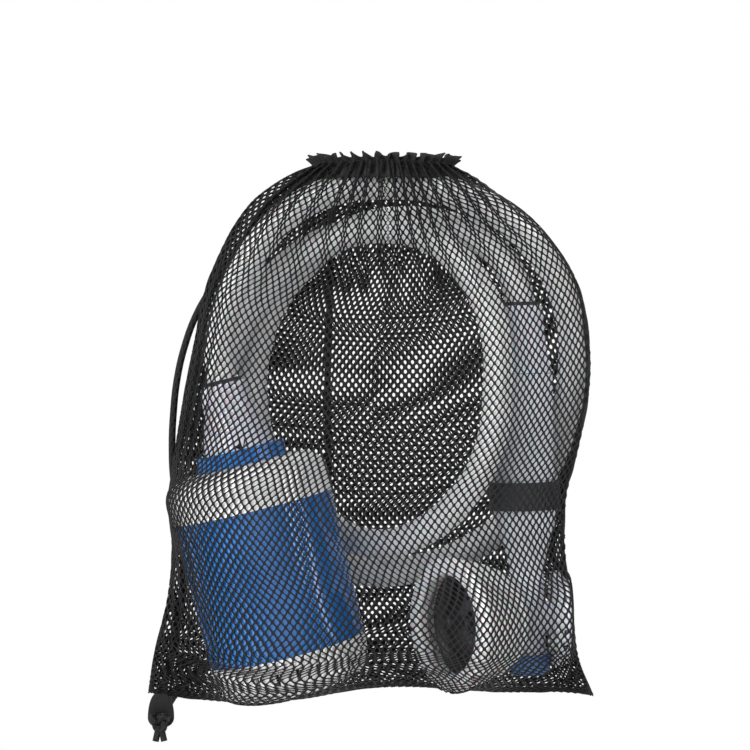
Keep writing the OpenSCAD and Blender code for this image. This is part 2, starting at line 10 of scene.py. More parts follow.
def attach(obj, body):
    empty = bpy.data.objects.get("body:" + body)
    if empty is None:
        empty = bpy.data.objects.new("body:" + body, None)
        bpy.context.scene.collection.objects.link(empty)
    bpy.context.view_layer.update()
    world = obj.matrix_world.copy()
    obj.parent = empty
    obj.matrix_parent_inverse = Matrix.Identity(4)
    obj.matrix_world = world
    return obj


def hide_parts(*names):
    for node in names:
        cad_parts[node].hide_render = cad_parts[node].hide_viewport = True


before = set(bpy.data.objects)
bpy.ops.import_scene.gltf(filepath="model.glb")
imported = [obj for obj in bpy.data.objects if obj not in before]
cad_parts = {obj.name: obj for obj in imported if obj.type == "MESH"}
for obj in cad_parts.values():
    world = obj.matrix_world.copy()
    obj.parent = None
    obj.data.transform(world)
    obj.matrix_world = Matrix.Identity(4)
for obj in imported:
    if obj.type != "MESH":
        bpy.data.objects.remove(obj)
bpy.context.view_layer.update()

# ---- Camera ----
# Level with the middle of the bag, a metre in front of it.
view_x, view_z = -0.005, -0.1035
camera = bpy.data.objects.new("camera", bpy.data.cameras.new("camera"))
bpy.context.collection.objects.link(camera)
camera.location = (view_x, -1.0, view_z)
camera.rotation_euler = (math.radians(90), 0, 0)
camera.data.sensor_width = 36
camera.data.lens = 96
bpy.context.scene.camera = camera

# ---- Hose ----
# Smooth white breathing hose, wound by hand in two and a half turns. It is pushed into
# the float's cuff at one end and into the mouth valve's cuff at the other.
hose_d = 0.015
float_at = Vector((-0.057, -0.008, -0.204))
mouth_at = Vector((0.0705, 0.008, -0.164))
float_up = Vector((-math.sin(math.radians(13.7)), 0, math.cos(math.radians(13.7))))
mouth_up = Vector((-math.sin(math.radians(1.5)), 0, math.cos(math.radians(1.5))))
hose_route = [
    float_at + 0.08705 * float_up, float_at + 0.103 * float_up,
    (-.082, -.007, -.088), (-.077, -.006, -.066), (-.066, -.006, -.044), (-.05, -.007, -.025),
    (-.028, -.008, -.013), (-.002, -.008, -.009), (.026, -.008, -.0115), (.054, -.007, -.022),
    (.077, -.003, -.042), (.091, .003, -.068), (.095, .01, -.096), (.092, .022, -.124),
    (.084, .031, -.15), (.069, .037, -.174), (.044, .039, -.194), (.012, .04, -.205),
    (-.02, .041, -.204), (-.048, .042, -.19), (-.069, .042, -.167), (-.082, .038, -.14),
    (-.085, .031, -.114), (-.079, .023, -.09), (-.066, .018, -.066), (-.05, .014, -.048),
    (-.028, .009, -.0355), (-.002, .004, -.03), (.024, -.001, -.0365), (.044, -.006, -.056),
    (.0545, -.011, -.083), (.0555, -.013, -.11), (.052, -.014, -.137), (.04, -.011, -.162),
    (.02, -.002, -.181), (-.006, .014, -.189), (-.03, .031, -.18), (-.05, .041, -.162),
    (-.064, .04, -.138), (-.068, .037, -.113), (-.066, .036, -.09), (-.058, .034, -.068),
    (-.044, .031, -.049), (-.026, .028, -.034), (-.004, .024, -.026), (.016, .019, -.025),
    (.034, .015, -.0285), (.0485, .011, -.035), (.0595, .009, -.0455), (.066, .008, -.058),
    mouth_at + 0.0963 * mouth_up, mouth_at + 0.08335 * mouth_up,
]


def route_curve(name, route, thick, smooth=6):
    """A round cord through the points of its route."""
    line = bpy.data.curves.new(name, "CURVE")
    line.dimensions = "3D"
    line.bevel_depth = 1
    line.bevel_resolution = 6
    line.resolution_u = smooth
    line.use_fill_caps = True
    spline = line.splines.new("BEZIER")
    spline.bezier_points.add(len(route) - 1)
    for knot, place in zip(spline.bezier_points, route):
        knot.co = place
        knot.radius = thick / 2
        knot.handle_left_type = knot.handle_right_type = "AUTO"
    piece = bpy.data.objects.new(name, line)
    bpy.context.collection.objects.link(piece)
    return piece


hose = route_curve("hose_skin", hose_route, hose_d)
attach(hose, "kit")
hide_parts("hose")

# ---- Drawcord ----
# One braided black polyester cord runs through the hem. Both ends leave the hem at the back,
# lie down the outside of the bag and meet in one overhand knot at the lower left corner.
cord_d = 0.0036
tab_at = Vector((-0.112, 0, -0.2748))
cord_gap = 0.00195
left_route = [
    (-.031, .0216, .001), (-.036, .028, 0), (-.043, .032, -.004), (-.052, .035, -.0115), (-.062, .0365, -.02),
    (-.072, .0385, -.032), (-.0815, .04, -.045), (-.0895, .037, -.058), (-.097, .032, -.072),
    (-.1025, .027, -.088), (-.1062, .024, -.105), (-.1082, .024, -.123), (-.1092, .027, -.141),
    (-.109, .033, -.158), (-.107, .04, -.176), (-.105, .042, -.196), (-.105, .0415, -.214),
    (-.1075, .04, -.232), (-.1105, .0385, -.247), (-.1135, .0325, -.2605), (-.1145, .021, -.269),
    (-.1142, .011, -.273),
    tab_at + Vector((-cord_gap, .006, 0)), tab_at + Vector((-cord_gap, -.0035, 0)),
]
rear_route = [
    (-.024, .0234, .001), (-.0245, .032, -.001), (-.026, .0395, -.011), (-.0275, .047, -.025),
    (-.0285, .0525, -.044), (-.029, .056, -.068), (-.03, .058, -.098), (-.03, .059, -.13),
    (-.03, .059, -.162), (-.034, .0585, -.182), (-.042, .0575, -.201), (-.055, .0555, -.219),
    (-.07, .0525, -.235), (-.085, .0475, -.248), (-.098, .039, -.259), (-.107, .027, -.267),
    (-.11, .019, -.2715), (-.11, .011, -.274),
    tab_at + Vector((cord_gap, .006, 0)), tab_at + Vector((cord_gap, -.0035, 0)),
]
knot_at = tab_at + Vector((0, -.0058, -.001))
loop = []
for step in range(15):
    turn = 2 * math.pi * step / 15 * 0.94 + 0.3
    loop.append(knot_at + Matrix.Rotation(0.3, 3, "Z") @ Vector((
        0.00145 * (math.sin(turn) + 1.9 * math.sin(2 * turn)),
        0.0021 * math.sin(3 * turn),
        0.00145 * (math.cos(turn) - 1.9 * math.cos(2 * turn)))))
corner_knot = route_curve("corner_knot", loop, cord_d * 0.95)
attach(corner_knot, "kit")
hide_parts("drawcord_knot")
tails = []
for number, lean in enumerate((-0.2, 0.24)):
    fall = Vector((math.sin(lean), -0.1, -math.cos(lean)))
    tail = route_curve(f"cord_tail_{number}", [knot_at + fall * drop for drop in (.002, .006, .0098)], cord_d * 0.9)
    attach(tail, "kit")
    tails.append(tail)
cords = {}
for name, node, route, long in (
    ("left_cord", "drawcord_left", left_route, 0.345),
    ("rear_cord", "drawcord_rear", rear_route, 0.351),
):
    cords[name] = route_curve(name, route, cord_d, 8)
    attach(cords[name], "kit")
    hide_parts(node)

# ---- Hose and drawcord finishes ----
# The hose is soft white plastic with a faint mottle. The cord is a plait of black polyester
# strands, so its pattern runs along and round it; the grooves between strands carry painted shade.


def shader_group(name, inputs, outputs):
    """An empty node group with float inputs and named outputs, and its two end nodes."""
    group = bpy.data.node_groups.new(name, "ShaderNodeTree")
    for label, start in inputs.items():
        socket = group.interface.new_socket(label, in_out="INPUT", socket_type="NodeSocketFloat")
        socket.default_value = start
    for label in outputs:
        group.interface.new_socket(label, in_out="OUTPUT", socket_type="NodeSocketFloat")
    return group, group.nodes.new("NodeGroupInput"), group.nodes.new("NodeGroupOutput")


def wire(tree, kind, links=None, **settings):
    """Adds a node, sets its properties and links or sets its numbered or named inputs."""
    node = tree.nodes.new(kind)
    for key, value in settings.items():
        setattr(node, key, value)
    for key, value in (links or {}).items():
        if isinstance(value, bpy.types.NodeSocket):
            tree.links.new(value, node.inputs[key])
        else:
            node.inputs[key].default_value = value
    return node


# Moulded surface: a fine grain for the bump, a broad mottle for the colour and faint scratches
surface_group, start, end = shader_group(
    "moulded_surface", {"Grain": 900.0, "Mottle": 35.0, "Scratches": 0.3}, ["Height", "Shade", "Scuff"])
place = wire(surface_group, "ShaderNodeTexCoord").outputs["Object"]
fine = wire(surface_group, "ShaderNodeTexNoise", {"Vector": place, "Scale": start.outputs["Grain"], "Detail": 3})
broad = wire(surface_group, "ShaderNodeTexNoise",
             {"Vector": place, "Scale": start.outputs["Mottle"], "Detail": 5, "Roughness": 0.6})
stretched = wire(surface_group, "ShaderNodeMapping", {"Vector": place, "Scale": (90, 90, 9), "Rotation": (.4, .2, 0)})
lines = wire(surface_group, "ShaderNodeTexNoise", {"Vector": stretched.outputs[0], "Scale": 6, "Detail": 2})
marks = wire(surface_group, "ShaderNodeMapRange",
             {"Value": lines.outputs["Fac"], "From Min": 0.64, "From Max": 0.74})
scuff = wire(surface_group, "ShaderNodeMath",
             {0: marks.outputs[0], 1: start.outputs["Scratches"]}, operation="MULTIPLY")
for label, source in (("Height", fine), ("Shade", broad), ("Scuff", scuff)):
    surface_group.links.new(source.outputs[0], end.inputs[label])

# Plait: strands crossing at a slant round a cord, from the cord's own lengthwise UV; the Shade output follows the
# relief, so it paints shade into the grooves
plait_group, start, end = shader_group("plait", {"Along": 200.0, "Around": 6.0}, ["Height", "Shade"])
own = wire(plait_group, "ShaderNodeSeparateXYZ",
           {0: wire(plait_group, "ShaderNodeTexCoord").outputs["UV"]}).outputs
along = wire(plait_group, "ShaderNodeMath", {0: own["X"], 1: start.outputs["Along"]}, operation="MULTIPLY")
around = wire(plait_group, "ShaderNodeMath", {0: own["Y"], 1: start.outputs["Around"]}, operation="MULTIPLY")
waves = []
for turn in ("ADD", "SUBTRACT"):
    slant = wire(plait_group, "ShaderNodeMath", {0: along.outputs[0], 1: around.outputs[0]}, operation=turn)
    full = wire(plait_group, "ShaderNodeMath", {0: slant.outputs[0], 1: 2 * math.pi}, operation="MULTIPLY")
    waves.append(wire(plait_group, "ShaderNodeMath", {0: full.outputs[0]}, operation="SINE"))
strands = wire(plait_group, "ShaderNodeMath", {0: waves[0].outputs[0], 1: waves[1].outputs[0]}, operation="MAXIMUM")
# Painted shade: one value drives both the relief and the colour, so the grooves between strands are painted darker.
relief_and_groove_shade = wire(plait_group, "ShaderNodeMapRange", {"Value": strands.outputs[0], "From Min": -0.4, "From Max": 1.0})
for label in ("Height", "Shade"):
    plait_group.links.new(relief_and_groove_shade.outputs[0], end.inputs[label])


def moulded(name, colour, rough, shade=0.05, grain=900, bump=0.00002, scratches=0.3, **sockets):
    """A moulded plastic or rubber: a base colour with mottle, scuffs and fine grain."""
    material = bpy.data.materials.new(name)
    material.use_nodes = True
    tree = material.node_tree
    shader = tree.nodes["Principled BSDF"]
    surface = wire(tree, "ShaderNodeGroup", node_tree=surface_group)
    surface.inputs["Grain"].default_value = grain
    surface.inputs["Scratches"].default_value = scratches
    dark = [c * (1 - shade) for c in colour]
    light = [min(1, c * (1 + shade) + shade * 0.02) for c in colour]
    mottled = wire(tree, "ShaderNodeMix", data_type="RGBA")
    tree.links.new(surface.outputs["Shade"], mottled.inputs[0])
    mottled.inputs[6].default_value = (*dark, 1)
    mottled.inputs[7].default_value = (*light, 1)
    tree.links.new(mottled.outputs[2], shader.inputs["Base Color"])
    worn = wire(tree, "ShaderNodeMapRange",
                {"Value": surface.outputs["Scuff"], "To Min": rough, "To Max": min(1, rough + 0.5)})
    tree.links.new(worn.outputs[0], shader.inputs["Roughness"])
    relief = wire(tree, "ShaderNodeBump", {"Height": surface.outputs["Height"], "Distance": bump, "Strength": 0.6})
    tree.links.new(relief.outputs[0], shader.inputs["Normal"])
    for label, value in sockets.items():
        shader.inputs[label.replace("_", " ")].default_value = value
    return material


def plaited(name, along, around, dark, light, rough=0.72):
    """A plaited or ribbed textile on a piece with a lengthwise UV, with painted shade in the grooves between strands.
    """
    material = bpy.data.materials.new(name)
    material.use_nodes = True
    tree = material.node_tree
    shader = tree.nodes["Principled BSDF"]
    plait = wire(tree, "ShaderNodeGroup", node_tree=plait_group)
    plait.inputs["Along"].default_value = along
    plait.inputs["Around"].default_value = around
    mix = wire(tree, "ShaderNodeMix", data_type="RGBA")
    tree.links.new(plait.outputs["Shade"], mix.inputs[0])
    mix.inputs[6].default_value = (*dark, 1)
    mix.inputs[7].default_value = (*light, 1)
    tree.links.new(mix.outputs[2], shader.inputs["Base Color"])
    relief = wire(tree, "ShaderNodeBump", {"Height": plait.outputs["Height"], "Distance": 0.0003, "Strength": 0.9})
    tree.links.new(relief.outputs[0], shader.inputs["Normal"])
    shader.inputs["Roughness"].default_value = rough
    shader.inputs["Specular IOR Level"].default_value = 0.2
    return material


hose.data.materials.append(moulded(
    "white_hose", (0.87, 0.875, 0.88), 0.34, shade=0.04, grain=500, Coat_Weight=0.15,
    Subsurface_Weight=0.12, Subsurface_Scale=0.004))
# The dark and light plait colours put painted shade in the grooves of the black cord.
for piece in (*cords.values(), corner_knot, *tails):
    long = piece.data.splines[0].calc_length()
    piece.data.materials.append(plaited(
        f"{piece.name}_plait", along=long / 0.0042, around=4, dark=(0.002, 0.002, 0.002), light=(0.010, 0.010, 0.011)))


# ---- Float ----
# Blue injection-moulded shell with a white cap at each end. A blue collar nut clamps the soft
# translucent cuff, and the slotted dome below lets air in past the splash valve.


def dress(material, *nodes):
    """Gives the carried-over nodes a finish in place of their plain one."""
    for node in nodes:
        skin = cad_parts[node]
        skin.data.materials.clear()
        skin.data.materials.append(material)
        if not skin.data.polygons[0].use_smooth:
            skin.data.shade_smooth()


dress(moulded("gloss_blue", (0.012, 0.145, 0.46), 0.16, shade=0.07, grain=260, bump=0.00006, scratches=0.35,
              Coat_Weight=0.5, Coat_Roughness=0.08), "float_shell")
dress(moulded("nut_blue", (0.02, 0.19, 0.58), 0.24, shade=0.06, Coat_Weight=0.2), "collar_nut")
dress(moulded("satin_white", (0.88, 0.88, 0.885), 0.3, shade=0.025, Coat_Weight=0.2),
      "hose_end_cap", "intake_deck", "intake_cap")
dress(moulded("inner_white", (0.66, 0.67, 0.68), 0.42), "air_tube", "valve_float")
dress(moulded("foam_cells", (0.72, 0.70, 0.58), 0.85, shade=0.2, grain=420, bump=0.0004, scratches=0), "float_foam")
dress(moulded("black_rubber", (0.018, 0.018, 0.02), 0.55, shade=0.25, grain=700, bump=0.00005),
      "float_seals", "valve_seat", "hose_rings", "cup_tie")
dress(moulded("milky_cuff", (0.74, 0.75, 0.84), 0.32, shade=0.06, Subsurface_Weight=0.35, Subsurface_Scale=0.006,
              Coat_Weight=0.2), "float_cuff", "mouth_cuff")

# ---- Mouth valve ----
# Pale translucent tube that holds the inhale flap, joined by a wide grey rubber band to the
# tee. The tee carries the exhaust cover on one side and the blue purge button below.
dress(moulded("pale_valve", (0.76, 0.785, 0.85), 0.26, shade=0.05, Coat_Weight=0.3,
              Subsurface_Weight=0.15, Subsurface_Scale=0.004), "valve_body", "tee_housing", "exhaust_cover")
dress(moulded("valve_seat_white", (0.7, 0.71, 0.73), 0.35), "inhale_seat", "exhaust_seat")
dress(moulded("flap_silicone", (0.55, 0.57, 0.6), 0.4, Subsurface_Weight=0.2, Subsurface_Scale=0.003),
      "inhale_flap", "exhaust_flap")
dress(moulded("grey_band", (0.032, 0.033, 0.038), 0.5, shade=0.2, grain=600, bump=0.00006), "clamp_band")
dress(moulded("purge_blue", (0.10, 0.22, 0.48), 0.28, shade=0.06, Coat_Weight=0.2), "purge_button")
dress(moulded("spring_steel", (0.55, 0.55, 0.56), 0.22, shade=0.1, Metallic=1.0), "purge_spring")

# ---- Mouthpiece ----
# Soft white silicone cup with a rolled rim, pushed on the tee's side pipe and tied there. A near-black
# sheet lines the bowl behind the bite piece as painted shade for the cup's deep interior.
dress(moulded("cup_silicone", (0.86, 0.865, 0.87), 0.36, shade=0.04, grain=500,
              Subsurface_Weight=0.25, Subsurface_Scale=0.006), "mouth_cup")
dress(moulded("bite_silicone", (0.05, 0.05, 0.055), 0.42, shade=0.15), "bite_piece")

cup_turn = math.radians(33)
cup_axis = Vector((-math.cos(cup_turn), -math.sin(cup_turn), 0))
tee_at = mouth_at - 0.062 * mouth_up
# Painted shade: a near-black sheet spun inside the bowl darkens it where depth shade falls.
shade_sheet_profile = [(0.0093, 0.0205), (0.0165, 0.0215), (0.0213, 0.0255), (0.0247, 0.0318), (0.0265, 0.0392)]
shade_sheet = bmesh.new()
rim = [shade_sheet.verts.new((r, 0, h)) for r, h in shade_sheet_profile]
edges = [shade_sheet.edges.new(pair) for pair in zip(rim, rim[1:])]
bmesh.ops.spin(shade_sheet, geom=rim + edges, cent=(0, 0, 0), axis=(0, 0, 1), angle=2 * math.pi, steps=72, use_merge=True)
bmesh.ops.recalc_face_normals(shade_sheet, faces=shade_sheet.faces)
if shade_sheet.faces[0].normal.z < 0:
    bmesh.ops.reverse_faces(shade_sheet, faces=shade_sheet.faces)
stand = Matrix.Translation(tee_at) @ cup_axis.to_track_quat("Z", "Y").to_matrix().to_4x4()
bmesh.ops.transform(shade_sheet, matrix=stand, verts=shade_sheet.verts)


def piece_from(name, shape, body, material, smooth=True):
    """Makes a finished bmesh into a piece that rides on a body."""
    mesh = bpy.data.meshes.new(name)
    shape.to_mesh(mesh)
    shape.free()
    mesh.materials.append(material)
    if smooth:
        mesh.shade_smooth()
    piece = bpy.data.objects.new(name, mesh)
    bpy.context.collection.objects.link(piece)
    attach(piece, body)
    return piece


# The near-black sheet rides on the mouthpiece as painted shade inside the cup.
cup_shade_sheet = piece_from("cup_shade_sheet", shade_sheet, "mouthpiece",
                       moulded("painted_shade_sheet", (0.012, 0.012, 0.014), 0.5, shade=0.2))
wall = cup_shade_sheet.modifiers.new("wall", "SOLIDIFY")
wall.thickness = 0.0006

# ---- Net bag ---- Black knitted polyester net with staggered diamond holes: a front and a
# back panel sewn together down the sides and along the bottom.
left_outline = [
    (-.036, .001), (-.0445, -.002), (-.056, -.0085), (-.068, -.0185), (-.0795, -.036), (-.09, -.061),
    (-.095, -.085), (-.101, -.116), (-.1065, -.151), (-.1085, -.168), (-.1065, -.191), (-.109, -.216),
    (-.115, -.241), (-.1185, -.2625),
]
right_outline = [
    (.034, .001), (.045, -.0045), (.057, -.0135), (.068, -.024), (.085, -.0385), (.0975, -.061),
    (.1025, -.091), (.1015, -.116), (.0965, -.141), (.0905, -.166), (.0905, -.196), (.0935, -.216),
    (.0965, -.2435), (.104, -.2635),
]
bottom_outline = [
    (-.1185, -.2625), (-.095, -.2655), (-.072, -.267), (-.042, -.2655), (-.012, -.2605),
    (.017, -.2595), (.057, -.262), (.085, -.262), (.104, -.2635),
]
hole_w, hole_h = 0.0044, 0.005
thread_w, back_thread_w, thread_t = 0.00108, 0.0020, 0.0005
net_clear = 0.0009


def through(points, shares):
    """Places at the given shares of the length of a smooth line through the points."""
    points = np.array(points, float)
    ends = np.vstack([2 * points[0] - points[1], points, 2 * points[-1] - points[-2]])
    t = np.linspace(0, 1, 24, endpoint=False)[:, None]
    line = []
    for a, b, c, d in zip(ends, ends[1:], ends[2:], ends[3:]):
        line.append(0.5 * (2 * b + (c - a) * t + (2 * a - 5 * b + 4 * c - d) * t**2 + (3 * b - a - 3 * c + d) * t**3))
    line = np.vstack(line + [points[-1:]])
    run = np.concatenate([[0], np.cumsum(np.linalg.norm(np.diff(line, axis=0), axis=1))])
    return np.column_stack([np.interp(np.asarray(shares) * run[-1], run, line[:, i]) for i in range(line.shape[1])])


def kit_tree(pieces):
    """One search tree of the finished triangles of the pieces in the bag."""
    graph = bpy.context.evaluated_depsgraph_get()
    corners, triangles = [], []
    for piece in pieces:
        mesh = piece.evaluated_get(graph).to_mesh()
        mesh.calc_loop_triangles()
        first = len(corners)
        corners.extend(v.co.copy() for v in mesh.vertices)
        triangles.extend([first + i for i in t.vertices] for t in mesh.loop_triangles)
    return BVHTree.FromPolygons(corners, triangles)


soft_nodes = {"bag_front", "bag_back", "bag_seam_tape", "bag_hem", "corner_tab",
              "drawcord_left", "drawcord_rear", "drawcord_knot", "hose"}
kit = kit_tree([piece for name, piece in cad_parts.items() if name not in soft_nodes] + [hose])


def smoothstep(low, high, value):
    t = np.clip((value - low) / (high - low), 0, 1)
    return t * t * (3 - 2 * t)


def resample(grid, shares, axis):
    """The grid's places at shares of each line's own index range along one axis."""
    grid = np.moveaxis(grid, axis, 0)
    spot = np.clip(shares, 0, 1) * (len(grid) - 1)
    low = np.minimum(spot.astype(int), len(grid) - 2)
    part = spot - low
    index = np.arange(grid.shape[1])
    if spot.ndim == 1:
        low, part = low[:, None], part[:, None]
    out = grid[low, index] * (1 - part[..., None]) + grid[low + 1, index] * part[..., None]
    return np.moveaxis(out, 0, axis)


def length_shares(grid, count, axis, joint=False):
    """Index shares that cut each line of the grid, or all lines together, into equal lengths."""
    steps = np.linalg.norm(np.diff(grid, axis=axis), axis=2)
    steps = np.moveaxis(steps, axis, 0)
    run = np.vstack([np.zeros(steps.shape[1]), np.cumsum(steps, axis=0)])
    even = np.linspace(0, 1, run.shape[0])
    want = np.linspace(0, 1, count)
    if joint:
        mean = run.mean(axis=1)
        return np.interp(want * mean[-1], mean, even), mean[-1]
    shares = np.column_stack([np.interp(want * r[-1], r, even) for r in run.T])
    return shares, run[-1]


rows, columns = 130, 170
down, across = np.linspace(0, 1, rows)[:, None], np.linspace(0, 1, columns)[None, :]
left_edge, right_edge = through(left_outline, down[:, 0]), through(right_outline, down[:, 0])
net_x = left_edge[:, :1] * (1 - across) + right_edge[:, :1] * across
net_z = left_edge[:, 1:] * (1 - across) + right_edge[:, 1:] * across
mid_z = 0.002 - 0.263 * down
mid_sag = mid_z - (left_edge[:, 1:] + right_edge[:, 1:]) / 2
net_z = net_z + 4 * across * (1 - across) * mid_sag
bottom = through(bottom_outline, np.linspace(0, 1, 200))
hem_drop = np.interp(net_x[-1], bottom[:, 0], bottom[:, 1]) - net_z[-1]
net_z = net_z + hem_drop[None, :] * smoothstep(0.78, 1.0, down)


def drape(side):
    reach = np.full((rows, columns), 0.0007)
    for r in range(rows):
        for c in range(columns):
            hit = kit.ray_cast(Vector((net_x[r, c], side * 0.3, net_z[r, c])), Vector((0, -side, 0)))[0]
            if hit is not None:
                reach[r, c] = max(reach[r, c], side * hit.y + net_clear)
    neck = (0.018 if side < 0 else 0.0215) * np.sqrt(np.clip(1 - (2 * across[0] - 1) ** 2, 0, 1))
    held = np.zeros((rows, columns))
    held[0] = neck
    held[1:-1, 1:-1] = reach[1:-1, 1:-1]
    along = (np.ptp(net_x, axis=1) / (columns - 1))[1:-1, None]
    fall = 0.29 / (rows - 1)
    pull_x, pull_z = 1 / along**2, 1 / fall**2
    for _ in range(2500):
        near = pull_x * (held[1:-1, :-2] + held[1:-1, 2:]) + pull_z * (held[:-2, 1:-1] + held[2:, 1:-1])
        held[1:-1, 1:-1] = np.maximum(near / (2 * pull_x + 2 * pull_z), reach[1:-1, 1:-1])
    return np.dstack([net_x, side * held, net_z])


def fold(grid, side, wide):
    """Loose cloth put into folds: tucks under the mouth, an edge fold and two lower corners."""
    fine = 480
    grid = resample(grid, np.linspace(0, 1, fine), 1)
    share = np.linspace(0, 1, fine)[None, :]
    chord = np.linalg.norm(np.diff(grid, axis=1), axis=2).sum(axis=1)[:, None]
    tucks = 17
    spare = np.clip(wide / chord - 1, 0, 4)
    deep = np.minimum(spare * chord / tucks / 2, 0.0042) * (1 - smoothstep(0.1, 0.42, down))
    phase = tucks * share + 0.35 * np.sin(9 * share + 2 * down) + 0.2 * np.sin(23 * share + 2.0 * side)
    out = deep * np.exp(-((np.sin(np.pi * phase) / 0.3) ** 2))
    inset = grid[..., 0] - left_edge[:, :1]
    band = smoothstep(0.2, 0.3, down) * (1 - smoothstep(0.55, 0.66, down))
    crease = 0.5 + 0.5 * np.sin(2 * np.pi * inset / 0.0038 + 5 * down)
    out = out + 0.0036 * band * (1 - smoothstep(0.008, 0.018, inset)) * crease
    low = smoothstep(0.66, 0.76, down)
    out = out + 0.0030 * low * (1 - smoothstep(0.004, 0.022, inset)) \
        * (0.5 + 0.5 * np.sin(2 * np.pi * (inset + 0.2 * grid[..., 2]) / 0.0044))
    for edge, way, width in ((left_edge, 1, 0.034), (right_edge, -1, 0.02)):
        inner = way * (grid[..., 0] - edge[:, :1])
        patch = smoothstep(0.87, 0.96, down) * (1 - smoothstep(width * 0.5, width, inner))
        ripple = 0.5 + 0.5 * np.sin(2 * np.pi * (inner + 0.5 * grid[..., 2]) / 0.0044 + side)
        out = out + 0.0042 * patch * ripple
    seam_fold = smoothstep(0.945, 0.975, down) * np.exp(-(((grid[..., 0] - 0.002) / 0.026) ** 2))
    out = out + 0.0035 * seam_fold * (0.5 + 0.5 * np.sin(2 * np.pi * grid[..., 2] / 0.0036))
    out = out + 0.0004 * (1 + np.sin(31 * share + 17 * down) * np.sin(13 * down - 7 * share))
    free = np.minimum(1, np.minimum(share, 1 - share) * 40) * np.minimum(1, (1 - down) * 40)
    grid[..., 1] += side * out * free
    return grid


def panel(name, side, node, strand_w):
    """Knits one panel's diamond net on its draped surface, in two halves."""
    grid = drape(side)
    wide = length_shares(grid, 2, 1)[1].max() * 1.05
    grid = fold(grid, side, wide)
    shares, _ = length_shares(grid, 641, 1)
    grid = resample(grid, shares, 1)
    shares, tall = length_shares(grid, 301, 0, joint=True)
    grid = resample(grid, shares, 0)
    meshes_wide, meshes_tall = round(wide / hole_w), round(tall / hole_h)
    cell_w, cell_h = 1 / meshes_wide, 1 / meshes_tall
    halves = []
    for half in (0, 1):
        first, last = (0, meshes_wide // 2) if half == 0 else (meshes_wide // 2, meshes_wide)
        span = (last - first) + meshes_tall + 2
        net = bmesh.new()
        bmesh.ops.create_grid(net, x_segments=span, y_segments=span, size=0.5)
        middle = Vector(((first + last) / 2 * cell_w, meshes_tall // 2 * cell_h, 0))
        turn = Matrix.Rotation(math.radians(45), 4, "Z")
        grow = Matrix.Diagonal((span * cell_w / math.sqrt(2), span * cell_h / math.sqrt(2), 1, 1))
        shift = Vector(((first + last) % 2 * cell_w / 2, 0, 0)) if span % 2 == 0 else Vector((0, 0, 0))
        bmesh.ops.transform(net, matrix=Matrix.Translation(middle + shift) @ grow @ turn, verts=net.verts)
        low_u, high_u = first * cell_w, last * cell_w
        spare = []
        for face in net.faces:
            centre = face.calc_center_median()
            if not (low_u < centre.x + 1e-6 < high_u and 0 < centre.y + 1e-6 < 1):
                spare.append(face)
        bmesh.ops.delete(net, geom=spare, context="FACES")
        bmesh.ops.transform(net, matrix=Matrix.Diagonal((wide, tall, 1, 1)), verts=net.verts)
        holes = list(net.faces)
        bmesh.ops.inset_individual(net, faces=holes, thickness=strand_w / 2)
        corners = list({corner for hole in holes for corner in hole.verts})
        bmesh.ops.bevel(net, geom=corners, affect="VERTICES", offset=0.00055, segments=1, profile=0.5, material=-1)
        holes = [face for face in net.faces if len(face.verts) == 8]
        bmesh.ops.delete(net, geom=holes, context="FACES")
        mesh = bpy.data.meshes.new(f"{name}_{'left' if half == 0 else 'right'}")
        net.to_mesh(mesh)
        net.free()
        flat = np.zeros(len(mesh.vertices) * 3)
        mesh.vertices.foreach_get("co", flat)
        flat = flat.reshape(-1, 3)
        u = np.clip(flat[:, 0] / wide, 0, 1) * (grid.shape[1] - 1)
        v = np.clip(flat[:, 1] / tall, 0, 1) * (grid.shape[0] - 1)
        i, j = np.minimum(u.astype(int), grid.shape[1] - 2), np.minimum(v.astype(int), grid.shape[0] - 2)
        a, b = (u - i)[:, None], (v - j)[:, None]
        spot = (grid[j, i] * (1 - a) + grid[j, i + 1] * a) * (1 - b) \
            + (grid[j + 1, i] * (1 - a) + grid[j + 1, i + 1] * a) * b
        for k in range(len(spot)):
            near, normal, _, gap = kit.find_nearest(Vector(spot[k]), 0.004)
            if near is not None:
                inside = (Vector(spot[k]) - near).dot(normal) < 0
                if inside or gap < net_clear * 0.8:
                    spot[k] = near + normal * net_clear * 0.9
        mesh.vertices.foreach_set("co", spot.astype(np.float32).ravel())
        mesh.materials.append(net_black)
        piece = bpy.data.objects.new(mesh.name, mesh)
        bpy.context.collection.objects.link(piece)
        thick = piece.modifiers.new("thread", "SOLIDIFY")
        thick.thickness = thread_t
        thick.offset = 0
        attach(piece, "kit")
        halves.append((piece, wide * (last - first) / meshes_wide, tall))
    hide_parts(node)
    return halves


net_black = moulded("net_polyester", (0.0035, 0.0035, 0.004), 0.7, shade=0.4, grain=2500, bump=0.00003, scratches=0,
                    Specular_IOR_Level=0.15)
net_halves = panel("front_net", -1, "bag_front", thread_w) + panel("back_net", 1, "bag_back", back_thread_w)

# ---- Gathered hem ----
# The net turned down round the mouth and stitched as a channel for the cord. Drawn shut, it
# puckers into close ruffles.
hem_knit = moulded("hem_knit", (0.004, 0.004, 0.0045), 0.75, shade=0.5, grain=1500, bump=0.00025, scratches=0,
                   Specular_IOR_Level=0.2)
hem_middle, hem_half = Vector((-0.001, 0.002, 0)), Vector((0.0352, 0.0203, 0))
hem_levels = [(-.0062, 1.10, .0005), (-.0035, 1.03, .0012), (-.0008, .99, .0010), (.0016, .97, .0014),
              (.0036, 1.0, .0021), (.0050, 1.03, .0026)]
hem = bmesh.new()
bmesh.ops.create_circle(hem, cap_ends=False, segments=520, radius=1)
ring = list(hem.verts)
levels = [ring]
edges = list(hem.edges)
for _ in hem_levels[1:]:
    grown = bmesh.ops.extrude_edge_only(hem, edges=edges)["geom"]
    edges = [part for part in grown if isinstance(part, bmesh.types.BMEdge) and part.is_boundary]
    levels.append([part for part in grown if isinstance(part, bmesh.types.BMVert)])
